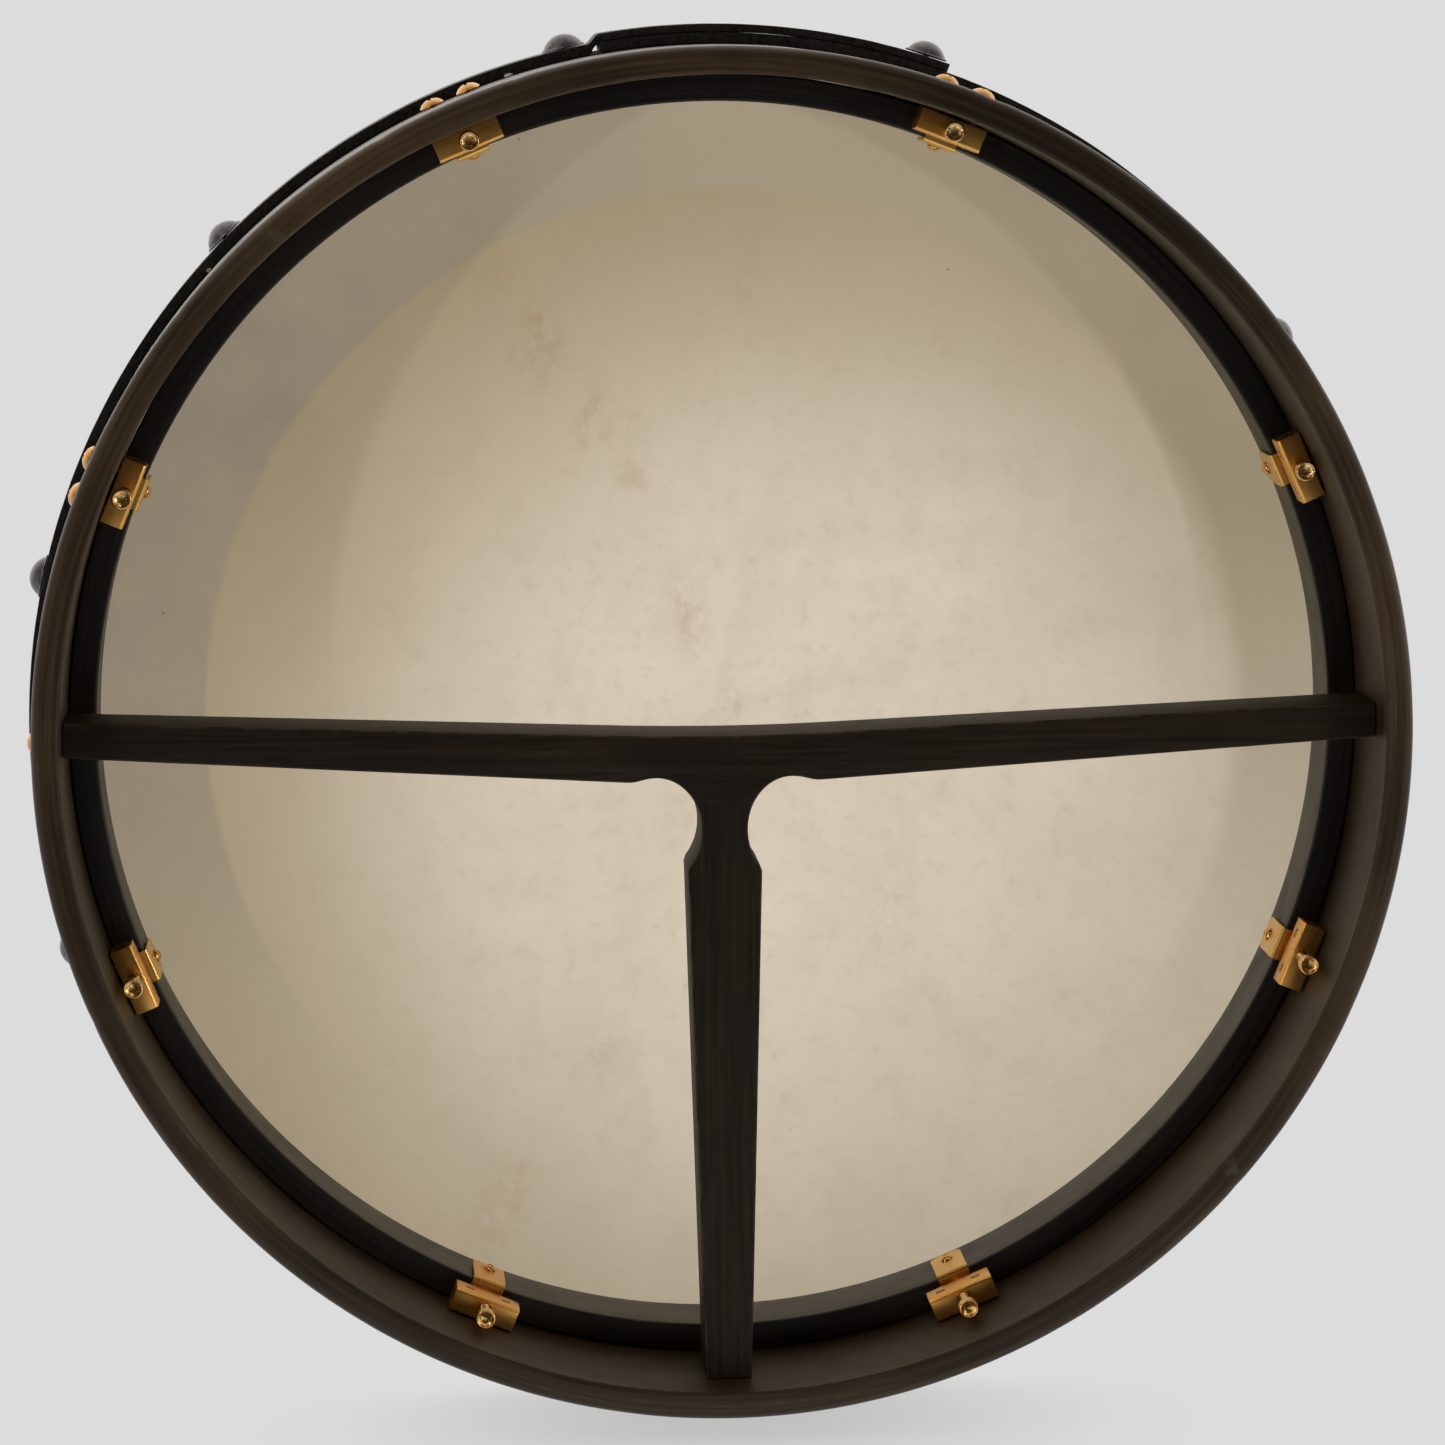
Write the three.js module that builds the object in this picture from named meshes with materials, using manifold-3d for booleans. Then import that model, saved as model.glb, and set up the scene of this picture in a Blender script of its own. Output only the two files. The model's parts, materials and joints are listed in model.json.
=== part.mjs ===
// A bodhran: a shallow wooden frame drum, open at the back, with a T-shaped hand bar and a wooden
// tuning ring that eight hex-key bolts push against the skin from inside.
//
// Millimetres. The drum stands on its edge: +Y runs along its axis and out of the skin, +Z is up,
// and +X is to the right for someone who looks into the open back. The origin is the centre of the
// skin's front face, so everything else has a negative Y. Angles are counted from +X towards +Z.

import * as THREE from 'three';
import { mergeVertices } from 'three/addons/utils/BufferGeometryUtils.js';
import ManifoldModule from 'manifold-3d';

const wasm = await ManifoldModule();
wasm.setup();

// ---- driving dimensions ----

const GAP = 0.3;                  // clearance between neighbouring pieces
const ROUND_SEGMENTS = 72;        // facets of the large turned pieces

/** The largest radius that stays a gap clear of the flat facets inside a large turned piece. */
const clearInside = (radius) => radius * Math.cos(Math.PI / ROUND_SEGMENTS) - GAP;

const SHELL = { outer: 228.6, wall: 9.3, front: -2.6, back: -88.9, outerRound: 3, innerRound: 1.5 };
SHELL.inner = SHELL.outer - SHELL.wall;

const SKIN = { thickness: 0.7, flatRadius: 218, skirtBack: -27.5 };

const RING = { outer: 218.6, inner: 209.6, front: -1, back: -31, round: 1.2 };

const STATIONS = 8;
// The brackets were set by hand: how far each one sits from its even place, in degrees.
const STATION_DRIFT = [0.9, 1, 0, 0, 0, 0, 0, 0];
const stationAngle = (index) =>
  THREE.MathUtils.degToRad(22.5 + index * (360 / STATIONS) + STATION_DRIFT[index]);

const BRACKET = { width: 23, front: -37.5, back: -49.5, inner: 210.5, round: 1.2 };
BRACKET.outer = Math.sqrt(clearInside(SHELL.inner) ** 2 - (BRACKET.width / 2) ** 2);

const TUNING_BOLT = {
  axisRadius: 214.2, shankRadius: 2, headRadius: 3.5, headHeight: 4, socketFlats: 3, socketDepth: 2.2,
};
// How far each bolt's head stands above its bracket, counted from the first station.
const HEAD_STAND = [12, 13, 15, 21, 18, 16, 17, 17];

const TAB = { width: 11.5, thickness: 1.2, legLength: 22, footOuter: 217.2, bend: 1.6 };

const BRACKET_SCREW = { spacing: 13, axial: -43.5, shankRadius: 2, headRadius: 4.5, headHeight: 2.6 };

const BAND = { front: -4, back: -29, thickness: 2.8, lowerEnd: 98.9, rampFoot: 100.3, upperEnd: 70 };
BAND.lowerInner = SHELL.outer + GAP + SKIN.thickness + GAP;
BAND.upperInner = BAND.lowerInner + BAND.thickness + GAP;

const NAIL = {
  headRadius: 7.4, domeHeight: 4.2, rim: 0.6, spikeRadius: 1.1, spikeTip: 222.5, drillTo: 245, axial: -16.5,
};
// Nails in order from the one that holds the band's upper end. The last five are evenly spread.
const PLACED_NAILS = [71.8, 102.15, 134.7, 167.2, 199.2];
const SPREAD_NAILS = 6;
const LAST_NAIL = 393.5;

const T_BAR = {
  front: -42, depth: 28, endTop: 7.6, endHeight: 12.8, crownHalf: 45, crownTop: 0.75, middleTop: -0.125,
  lipX: 31, lipZ: -16.2, scallopX: 22.8, scallopZ: -14.6, neckX: 8.3, neckZ: -31.5,
  flareRadius: 20, flareDrop: 12, shoulderX: 12.4, shoulderZ: -45.5, footHalf: 7.7,
};
T_BAR.endRadius = clearInside(SHELL.inner);
T_BAR.axial = T_BAR.front - T_BAR.depth / 2;

const BAR_SCREW = { shankRadius: 2, headRadius: 4.5, headHeight: 2.6, length: 34, tip: 4 };
const BAR_ENDS = { right: 0, left: Math.PI, foot: -Math.PI / 2 };

// ---- materials ----

const material = (color, roughness, metalness) =>
  new THREE.MeshStandardMaterial({ color, roughness, metalness });

const MATERIALS = {
  shellWood: material(0x33271c, 0.42, 0),
  ringWood: material(0x2b2722, 0.5, 0),
  barWood: material(0x1f1b16, 0.42, 0),
  skin: material(0xcabfa6, 0.7, 0),
  leather: material(0x1d1d20, 0.65, 0),
  brass: material(0xb98a45, 0.3, 1),
  nail: material(0x4d4d52, 0.35, 0.9),
};

// ---- geometry helpers ----

/** One closed body from a three.js geometry: vertices merged, sliver faces dropped, faces outwards. */
function solid(geometry) {
  const bare = geometry.clone();
  bare.deleteAttribute('normal');
  bare.deleteAttribute('uv');
  const merged = mergeVertices(bare, 1e-4);
  const vertProperties = Float32Array.from(merged.attributes.position.array);
  const triVerts = [];
  const corner = [0, 1, 2].map(() => new THREE.Vector3());
  let volume = 0;
  for (let i = 0; i < merged.index.count; i += 3) {
    const face = [0, 1, 2].map((k) => merged.index.array[i + k]);
    if (new Set(face).size < 3) continue;
    triVerts.push(...face);
    face.forEach((vertex, k) => corner[k].fromArray(vertProperties, vertex * 3));
    volume += corner[0].dot(corner[1].cross(corner[2]));
  }
  if (volume < 0) triVerts.reverse();
  return new wasm.Manifold(
    new wasm.Mesh({ numProp: 3, vertProperties, triVerts: Uint32Array.from(triVerts) }),
  );
}

function fromSolid(body) {
  const { vertProperties, triVerts } = body.getMesh();
  const geometry = new THREE.BufferGeometry();
  geometry.setAttribute('position', new THREE.BufferAttribute(Float32Array.from(vertProperties), 3));
  geometry.setIndex(Array.from(triVerts));
  geometry.computeVertexNormals();
  return geometry;
}

const closed = (geometry) => fromSolid(solid(geometry));

/** The geometry with each tool's volume taken away. */
function cut(geometry, tools) {
  let body = solid(geometry);
  for (const tool of tools) body = body.subtract(solid(tool));
  return fromSolid(body);
}

/** A piece turned about the drum's axis or about its own, from [radius, y] pairs. */
function turned(profile, segments) {
  return new THREE.LatheGeometry(profile.map(([r, y]) => new THREE.Vector2(r, y)), segments);
}

/** Points on an arc, ends included, as [r, y] pairs. */
function arc(centreR, centreY, radius, fromDeg, toDeg, steps) {
  return Array.from({ length: steps + 1 }, (_, i) => {
    const a = THREE.MathUtils.degToRad(fromDeg + ((toDeg - fromDeg) * i) / steps);
    return [centreR + radius * Math.cos(a), centreY + radius * Math.sin(a)];
  });
}

/** A rod that points away from the drum's axis, between two radii. */
function radialRod(radius, inner, outer, axial, side, sides) {
  const rod = new THREE.CylinderGeometry(radius, radius, outer - inner, sides);
  rod.rotateZ(-Math.PI / 2);
  rod.translate((inner + outer) / 2, axial, side);
  return rod;
}

/** The same rod, carried round the drum's axis to an angle. */
function radialDrill(radius, inner, outer, axial, side, angle, sides = 8) {
  const rod = radialRod(radius, inner, outer, axial, side, sides);
  rod.rotateY(-angle);
  return rod;
}

/** A profile of [distance along the rod, radius] pairs turned into a piece that points outwards. */
function radialTurned(profile, segments) {
  const body = turned(profile.map(([along, radius]) => [radius, along]), segments);
  body.rotateZ(-Math.PI / 2);
  return body;
}

function piece(name, geometry, finish, parent) {
  const mesh = new THREE.Mesh(geometry, finish);
  mesh.name = name;
  parent.add(mesh);
  return mesh;
}

/** A group whose +X points away from the drum's axis at an angle, with +Y still the drum's axis. */
function radialGroup(angle, parent) {
  const group = new THREE.Group();
  group.rotation.y = -angle;
  parent.add(group);
  return group;
}

// ---- positions of the fasteners ----

const stations = Array.from({ length: STATIONS }, (_, i) => stationAngle(i));

const lastPlaced = PLACED_NAILS[PLACED_NAILS.length - 1];
const nailStep = (LAST_NAIL - lastPlaced) / SPREAD_NAILS;
const nails = [
  ...PLACED_NAILS,
  ...Array.from({ length: SPREAD_NAILS }, (_, i) => lastPlaced + nailStep * (i + 1)),
].map(THREE.MathUtils.degToRad);

const bracketScrewSides = [-BRACKET_SCREW.spacing / 2, BRACKET_SCREW.spacing / 2];

/** Clearance drills for every nail spike, long enough for the skin and the band too. */
const nailDrills = () => nails.map((angle) =>
  radialDrill(NAIL.spikeRadius + 0.4, NAIL.spikeTip - GAP, NAIL.drillTo, NAIL.axial, 0, angle, 6));

// ---- wood ----

/** The bent wooden hoop: rounded back edges to hold, and a bearing edge for the skin in front. */
function shellGeometry() {
  const { outer, inner, front, back, outerRound, innerRound } = SHELL;
  const profile = [
    ...arc(outer - outerRound, front - outerRound, outerRound, 90, 0, 3),
    ...arc(outer - outerRound, back + outerRound, outerRound, 0, -90, 2),
    ...arc(inner + innerRound, back + innerRound, innerRound, -90, -180, 1),
    ...arc(inner + innerRound, front - innerRound, innerRound, 180, 90, 1),
  ];
  profile.push(profile[0]);
  const drills = nailDrills();
  for (const angle of stations) {
    for (const side of bracketScrewSides) {
      const radius = BRACKET_SCREW.shankRadius + GAP;
      drills.push(radialDrill(radius, inner - 5, outer + 5, BRACKET_SCREW.axial, side, angle));
    }
  }
  for (const angle of Object.values(BAR_ENDS)) {
    drills.push(radialDrill(BAR_SCREW.shankRadius + GAP, inner - 5, outer + 5, T_BAR.axial, 0, angle));
  }
  return cut(turned(profile, ROUND_SEGMENTS), drills);
}

/** The hoop inside the shell that presses on the skin. */
function ringGeometry() {
  const { outer, inner, front, back, round } = RING;
  const profile = [
    ...arc(outer - round, front - round, round, 90, 0, 1),
    ...arc(outer - round, back + round, round, 0, -90, 1),
    ...arc(inner + round, back + round, round, -90, -180, 1),
    ...arc(inner + round, front - round, round, 180, 90, 1),
  ];
  profile.push(profile[0]);
  return closed(turned(profile, ROUND_SEGMENTS));
}

/** Right half of the hand bar's outline, from the middle of its top edge down to its foot. */
function drawRightHalf(shape) {
  const t = T_BAR;
  const at = (z) => Math.asin(z / t.endRadius);
  shape.quadraticCurveTo(t.crownHalf / 2, t.middleTop, t.crownHalf, t.crownTop);
  shape.absarc(0, 0, t.endRadius, at(t.endTop), at(t.endTop - t.endHeight), true);
  shape.lineTo(t.lipX, t.lipZ);
  shape.bezierCurveTo(t.lipX - 3, t.lipZ - 0.2, t.scallopX + 4, t.scallopZ, t.scallopX, t.scallopZ);
  shape.absellipse(
    t.scallopX, t.neckZ, t.scallopX - t.neckX, t.scallopZ - t.neckZ, Math.PI / 2, Math.PI, false,
  );
  const flare = Math.asin(t.flareDrop / t.flareRadius);
  shape.absarc(t.neckX + t.flareRadius, t.neckZ, t.flareRadius, Math.PI, Math.PI + flare, false);
  shape.lineTo(t.shoulderX, t.shoulderZ);
  shape.lineTo(t.footHalf, -Math.sqrt(t.endRadius ** 2 - t.footHalf ** 2));
}

/** The T-shaped hand bar: a bowed cross bar and a stem with a narrow neck and square shoulders. */
function tBarGeometry() {
  const right = new THREE.Shape();
  right.moveTo(0, T_BAR.middleTop);
  drawRightHalf(right);
  const half = right.getPoints(6).filter((p, i, all) => i === 0 || p.distanceTo(all[i - 1]) > 0.05);
  const mirrored = half.slice(1).reverse().map((p) => new THREE.Vector2(-p.x, p.y));
  const bar = new THREE.ExtrudeGeometry(new THREE.Shape([...half, ...mirrored]), {
    depth: T_BAR.depth, bevelEnabled: false,
  });
  bar.rotateX(Math.PI / 2);
  bar.translate(0, T_BAR.front, 0);
  const drills = Object.values(BAR_ENDS).map((angle) => {
    const tip = SHELL.outer - BAR_SCREW.length - GAP;
    return radialDrill(BAR_SCREW.shankRadius + GAP, tip, T_BAR.endRadius + 5, T_BAR.axial, 0, angle);
  });
  return cut(bar, drills);
}

// ---- skin and leather ----

/** The skin: a flat disc that slopes to the shell's edge, folds over it and runs down the outside. */
function skinGeometry() {
  const edgeR = SHELL.outer - SHELL.outerRound;
  const edgeY = SHELL.front - SHELL.outerRound;
  const innerR = SHELL.outerRound + GAP;
  const outerR = innerR + SKIN.thickness;
  const profile = [
    [0, 0],
    [SKIN.flatRadius, 0],
    ...arc(edgeR, edgeY, outerR, 90, 0, 3),
    [edgeR + outerR, SKIN.skirtBack],
    [edgeR + innerR, SKIN.skirtBack],
    ...arc(edgeR, edgeY, innerR, 0, 90, 3),
    [SKIN.flatRadius, -SKIN.thickness],
    [0, -SKIN.thickness],
  ];
  return cut(turned(profile, ROUND_SEGMENTS), nailDrills());
}

/** The leather strip round the shell. It starts under its own end and climbs over it at the top. */
function bandGeometry() {
  const { lowerEnd, rampFoot, upperEnd, thickness, lowerInner, upperInner } = BAND;
  const turn = 360;
  const rampTop = lowerEnd + 0.2;
  const angles = [];
  for (let i = 0; i <= ROUND_SEGMENTS; i += 1) {
    angles.push(lowerEnd - ((lowerEnd + turn - rampFoot) * i) / ROUND_SEGMENTS);
  }
  angles.push(rampTop - turn);
  const overlapFacets = 6;
  for (let i = 1; i <= overlapFacets; i += 1) {
    angles.push(rampTop - turn + ((upperEnd - rampTop) * i) / overlapFacets);
  }
  const innerAt = (angle) => (angle > rampTop - turn + 0.01 ? lowerInner : upperInner);
  const point = (angle, radius) => {
    const a = THREE.MathUtils.degToRad(angle);
    return new THREE.Vector2(radius * Math.cos(a), radius * Math.sin(a));
  };
  const outerSide = angles.map((angle) => point(angle, innerAt(angle) + thickness));
  const innerSide = angles.map((angle) => point(angle, innerAt(angle))).reverse();
  const band = new THREE.ExtrudeGeometry(new THREE.Shape([...outerSide, ...innerSide]), {
    depth: BAND.front - BAND.back, bevelEnabled: false,
  });
  band.rotateX(Math.PI / 2);
  band.translate(0, BAND.front, 0);
  return cut(band, nailDrills());
}

/** A domed upholstery nail with a thin flat rim and a short spike, its head's underside at a radius. */
function nailGeometry(underside) {
  const { headRadius, domeHeight, rim, spikeRadius, spikeTip } = NAIL;
  const domeRadius = headRadius - rim;
  const sphere = (domeRadius ** 2 + domeHeight ** 2) / (2 * domeHeight);
  const start = THREE.MathUtils.radToDeg(Math.asin(domeRadius / sphere));
  const dome = arc(underside + rim + domeHeight - sphere, 0, sphere, start, 0, 3);
  const body = [
    [spikeTip, 0],
    [spikeTip + 2, spikeRadius],
    [underside, spikeRadius],
    [underside, headRadius],
    [underside + rim, headRadius],
    ...dome,
  ];
  return closed(radialTurned(body, 12));
}

// ---- metal ----

/** A solid brass block with a bolt hole along the drum's axis and two screw holes across it. */
function bracketGeometry() {
  const { width, front, back, inner, outer, round } = BRACKET;
  const section = new THREE.Shape();
  section.moveTo(inner, front);
  section.lineTo(inner, back + round);
  section.absarc(inner + round, back + round, round, Math.PI, Math.PI * 1.5, false);
  section.lineTo(outer, back);
  section.lineTo(outer, front);
  const block = new THREE.ExtrudeGeometry(section, { depth: width, bevelEnabled: false, curveSegments: 3 });
  block.translate(0, 0, -width / 2);
  const bolt = new THREE.CylinderGeometry(
    TUNING_BOLT.shankRadius + GAP, TUNING_BOLT.shankRadius + GAP, front - back + 4, 10,
  );
  bolt.translate(TUNING_BOLT.axisRadius, (front + back) / 2, 0);
  const screws = bracketScrewSides.map((side) =>
    radialRod(BRACKET_SCREW.shankRadius + GAP, inner - 5, outer + 5, BRACKET_SCREW.axial, side, 8));
  return cut(block, [bolt, ...screws]);
}

/**
 * A screw with a low dome head that goes in from outside the shell and ends at a radius. A tip
 * length above zero gives it a point; otherwise it ends flat.
 */
function domeScrewGeometry({ shankRadius, headRadius, headHeight }, tipRadius, tipLength) {
  const underside = SHELL.outer + GAP;
  const sphere = (headRadius ** 2 + headHeight ** 2) / (2 * headHeight);
  const start = THREE.MathUtils.radToDeg(Math.asin(headRadius / sphere));
  const body = [
    [tipRadius, 0],
    [tipRadius + tipLength, shankRadius],
    [underside, shankRadius],
    [underside, headRadius],
    ...arc(underside + headHeight - sphere, 0, sphere, start, 0, 3).slice(1),
  ];
  return closed(radialTurned(body, 10));
}

/** A socket-head bolt. Its tip stays just clear of the tab and its head stands above the bracket. */
function boltGeometry(stand) {
  const { shankRadius, headRadius, headHeight, socketFlats, socketDepth } = TUNING_BOLT;
  const tip = RING.back - GAP - TAB.thickness - GAP;
  const top = BRACKET.back - stand;
  const chamfer = 0.4;
  const profile = [
    [0, tip],
    [shankRadius - chamfer, tip],
    [shankRadius, tip - chamfer],
    [shankRadius, top + headHeight],
    [headRadius, top + headHeight],
    [headRadius, top + chamfer],
    [headRadius - chamfer, top],
    [0, top],
  ];
  const across = socketFlats / Math.sqrt(3);
  const socket = new THREE.CylinderGeometry(across, across, socketDepth * 2, 6);
  socket.translate(0, top, 0);
  const bolt = cut(turned(profile, 14), [socket]);
  bolt.translate(TUNING_BOLT.axisRadius, 0, 0);
  return bolt;
}

/** A bent strip: one leg flat against the ring's inner face, one foot on its back under the bolt. */
function tabGeometry() {
  const { width, thickness, legLength, footOuter, bend } = TAB;
  const legOuter = clearInside(RING.inner);
  const footFront = RING.back - GAP;
  const section = new THREE.Shape();
  section.moveTo(legOuter, RING.back + legLength);
  section.lineTo(legOuter, footFront);
  section.lineTo(footOuter, footFront);
  section.lineTo(footOuter, footFront - thickness);
  section.absarc(
    legOuter - thickness + bend, footFront - thickness + bend, bend, -Math.PI / 2, -Math.PI, true,
  );
  section.lineTo(legOuter - thickness, RING.back + legLength);
  const strip = new THREE.ExtrudeGeometry(section, { depth: width, bevelEnabled: false, curveSegments: 3 });
  strip.translate(0, 0, -width / 2);
  return closed(strip);
}

// ---- assembly ----

const bodhran = new THREE.Group();
bodhran.name = 'bodhran';

piece('shell', shellGeometry(), MATERIALS.shellWood, bodhran);
piece('tuning_ring', ringGeometry(), MATERIALS.ringWood, bodhran);
piece('t_bar', tBarGeometry(), MATERIALS.barWood, bodhran);
piece('skin', skinGeometry(), MATERIALS.skin, bodhran);
piece('leather_band', bandGeometry(), MATERIALS.leather, bodhran);

const sharedTab = tabGeometry();
const sharedBracket = bracketGeometry();
const sharedBracketScrew = domeScrewGeometry(BRACKET_SCREW, BRACKET.inner - 0.2, 0);

stations.forEach((angle, index) => {
  const number = index + 1;
  const station = radialGroup(angle, bodhran);
  piece(`bracket_${number}`, sharedBracket, MATERIALS.brass, station);
  piece(`tuning_bolt_${number}`, boltGeometry(HEAD_STAND[index]), MATERIALS.brass, station);
  piece(`pressure_tab_${number}`, sharedTab, MATERIALS.brass, station);
  bracketScrewSides.forEach((side, k) => {
    const screw = piece(`bracket_screw_${number}${'ab'[k]}`, sharedBracketScrew, MATERIALS.brass, station);
    screw.position.set(0, BRACKET_SCREW.axial, side);
  });
});

const sharedBarScrew = domeScrewGeometry(BAR_SCREW, SHELL.outer - BAR_SCREW.length, BAR_SCREW.tip);
for (const [end, angle] of Object.entries(BAR_ENDS)) {
  const screw = piece(`t_bar_screw_${end}`, sharedBarScrew, MATERIALS.brass, radialGroup(angle, bodhran));
  screw.position.y = T_BAR.axial;
}

nails.forEach((angle, index) => {
  const onOverlap = index === 0;
  const layer = onOverlap ? BAND.upperInner : BAND.lowerInner;
  const nail = piece(
    `band_nail_${String(index + 1).padStart(2, '0')}`,
    nailGeometry(layer + BAND.thickness + GAP), MATERIALS.nail, radialGroup(angle, bodhran),
  );
  nail.position.y = NAIL.axial;
});

export default bodhran;
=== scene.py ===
"""The looks of a bodhran: a shallow frame drum seen from its open back, with a T-bar and a tuning ring.

Everything is in metres in the drum's own frame: +Y runs along its axis and out of the skin, +Z is up.
Angles are in radians from +X towards +Z. A "station" frame has its first axis pointing away from the
drum's axis, its second along +Y, and its third round the rim.
"""

import json
import random
from collections import namedtuple
from itertools import product
from math import asin, atan2, cos, degrees, hypot, pi, radians, sin, sqrt, tan, tau

import bmesh
import bpy
from mathutils import Matrix, Vector, noise


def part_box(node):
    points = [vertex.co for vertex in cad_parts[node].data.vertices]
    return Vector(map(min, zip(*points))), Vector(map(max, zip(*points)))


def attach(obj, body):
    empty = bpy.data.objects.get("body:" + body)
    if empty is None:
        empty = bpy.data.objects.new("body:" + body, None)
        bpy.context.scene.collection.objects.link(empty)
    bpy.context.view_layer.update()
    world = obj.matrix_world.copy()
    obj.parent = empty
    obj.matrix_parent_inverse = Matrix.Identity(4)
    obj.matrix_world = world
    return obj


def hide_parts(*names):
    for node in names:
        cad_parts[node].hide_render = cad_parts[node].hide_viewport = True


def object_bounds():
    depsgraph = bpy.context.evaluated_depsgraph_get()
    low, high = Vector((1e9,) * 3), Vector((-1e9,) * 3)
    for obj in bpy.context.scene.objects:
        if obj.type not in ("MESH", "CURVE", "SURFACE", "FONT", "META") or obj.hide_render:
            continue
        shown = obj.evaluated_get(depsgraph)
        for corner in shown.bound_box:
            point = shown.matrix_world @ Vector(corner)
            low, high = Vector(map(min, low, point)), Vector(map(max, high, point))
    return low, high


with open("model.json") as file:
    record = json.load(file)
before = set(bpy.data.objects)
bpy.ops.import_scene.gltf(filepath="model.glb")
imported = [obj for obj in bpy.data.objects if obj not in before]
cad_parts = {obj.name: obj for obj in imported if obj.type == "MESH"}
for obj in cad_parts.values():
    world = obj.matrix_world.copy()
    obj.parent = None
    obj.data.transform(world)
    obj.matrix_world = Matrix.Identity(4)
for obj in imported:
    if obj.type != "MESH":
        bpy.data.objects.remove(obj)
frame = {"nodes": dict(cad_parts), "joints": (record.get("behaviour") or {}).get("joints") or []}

MM = 0.001
CAD_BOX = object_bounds()

# ---- sizes that the frame doesn't give ----

SHELL_WALL = 9.3 * MM
SHELL_OUTER_ROUND = 3.4 * MM
SHELL_INNER_ROUND = 1.6 * MM
SKIN_THICKNESS = 0.7 * MM
SKIN_FLAT_RADIUS = 218 * MM
RING_ROUND = 0.9 * MM
RING_SNUG = 0.5 * MM                    # the ring nearly fills the shell, so no light shows between them
BAND_THICKNESS = 2.8 * MM
BAND_START, BAND_STOP = 99.3, 70.0      # degrees; the strip runs clockwise and laps over its own start
BAND_RAMP_FOOT, BAND_RAMP_TOP = 100.3, 99.1
THREAD_PITCH = 0.7 * MM
NAIL_SEAT = 0.25 * MM                   # how deep the nail heads press into the leather
ROUND_STEPS = 360

# ---- camera and stage ----

CAMERA_SENSOR = 36             # millimetres wide
CAMERA_LENS = 135.9
CAMERA_DISTANCE = 1.841
CAMERA_TARGET = Vector((0.0011, -0.04445, 0.0014))
CAMERA_LEFT = radians(3.69)
CAMERA_UP = radians(7.54)
CAMERA_ROLL = radians(-0.470)
BACKDROP = 0.716               # linear grey of the pale floor and the backdrop
STAGE_HALF = 9                 # the floor reaches this far each way
STAGE_DROP = 0.2 * MM          # and lies this far below the drum


# ======== geometry helpers ========

def polar(radius, axial, angle):
    """A point at a distance from the drum's axis."""
    return Vector((radius * cos(angle), axial, radius * sin(angle)))


def station_matrix(angle, origin=(0, 0, 0)):
    """Takes (outwards, along +Y, round the rim) to the drum's frame. The origin is in station axes."""
    out, round_rim = polar(1, 0, angle), Vector((-sin(angle), 0, cos(angle)))
    turn = Matrix((out, Vector((0, 1, 0)), round_rim)).transposed().to_4x4()
    return turn @ Matrix.Translation(Vector(origin))


def node_points(node):
    return [v.co for v in frame["nodes"][node].data.vertices]


def node_angle(node):
    """Where a CAD piece sits round the rim."""
    points = node_points(node)
    centre = sum(points, Vector()) / len(points)
    return atan2(centre.z, centre.x)


def station_box(node, angle):
    """Lowest and highest corner of a CAD piece, in a station's axes."""
    back = station_matrix(angle).inverted()
    points = [back @ p for p in node_points(node)]
    return (Vector(min(p[k] for p in points) for k in range(3)),
            Vector(max(p[k] for p in points) for k in range(3)))


def arc(centre, radius, start, end, steps):
    """Points on an arc, ends included, in degrees."""
    turns = [radians(start + (end - start) * i / steps) for i in range(steps + 1)]
    return [(centre[0] + radius * cos(a), centre[1] + radius * sin(a)) for a in turns]


def smooth_step(x):
    x = min(1.0, max(0.0, x))
    return x * x * (3 - 2 * x)


def cubic(a, b, c, d, t):
    """A cubic curve's value at t, from a to d with the handles b and c."""
    return (1 - t) ** 3 * a + 3 * (1 - t) ** 2 * t * b + 3 * (1 - t) * t * t * c + t ** 3 * d


def circle_noise(angle, radius, seed):
    """Smooth noise along a circle, from about -1 to 1. The larger the circle, the finer it is."""
    return noise.noise(Vector((cos(angle) * radius, sin(angle) * radius, seed)))


def scene_object(name, data):
    obj = bpy.data.objects.new(name, data)
    bpy.context.scene.collection.objects.link(obj)
    return obj


def mesh_object(name, points, faces):
    """A mesh object with shared vertices merged, no loose bits and its faces pointing outwards."""
    mesh = bpy.data.meshes.new(name)
    mesh.from_pydata(points, [], faces)
    body = bmesh.new()
    body.from_mesh(mesh)
    bmesh.ops.remove_doubles(body, verts=body.verts, dist=1e-6)
    bmesh.ops.dissolve_degenerate(body, edges=body.edges, dist=1e-7)
    bmesh.ops.recalc_face_normals(body, faces=body.faces)
    body.to_mesh(mesh)
    body.free()
    return scene_object(name, mesh)


def grid_faces(row_count, column_count, wrap_rows, wrap_columns):
    faces = []
    for i in range(row_count if wrap_rows else row_count - 1):
        for j in range(column_count if wrap_columns else column_count - 1):
            i2, j2 = (i + 1) % row_count, (j + 1) % column_count
            faces.append((i * column_count + j, i2 * column_count + j,
                          i2 * column_count + j2, i * column_count + j2))
    return faces


def grid_object(name, rows, wrap_rows=False, wrap_columns=False, cap_ends=False):
    """A surface through rows of points, closed round where asked. Caps fill the first and last row."""
    count, width = len(rows), len(rows[0])
    faces = grid_faces(count, width, wrap_rows, wrap_columns)
    if cap_ends:
        faces.append(tuple(range(width)))
        faces.append(tuple((count - 1) * width + j for j in range(width)))
    return mesh_object(name, [p for row in rows for p in row], faces)


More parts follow.
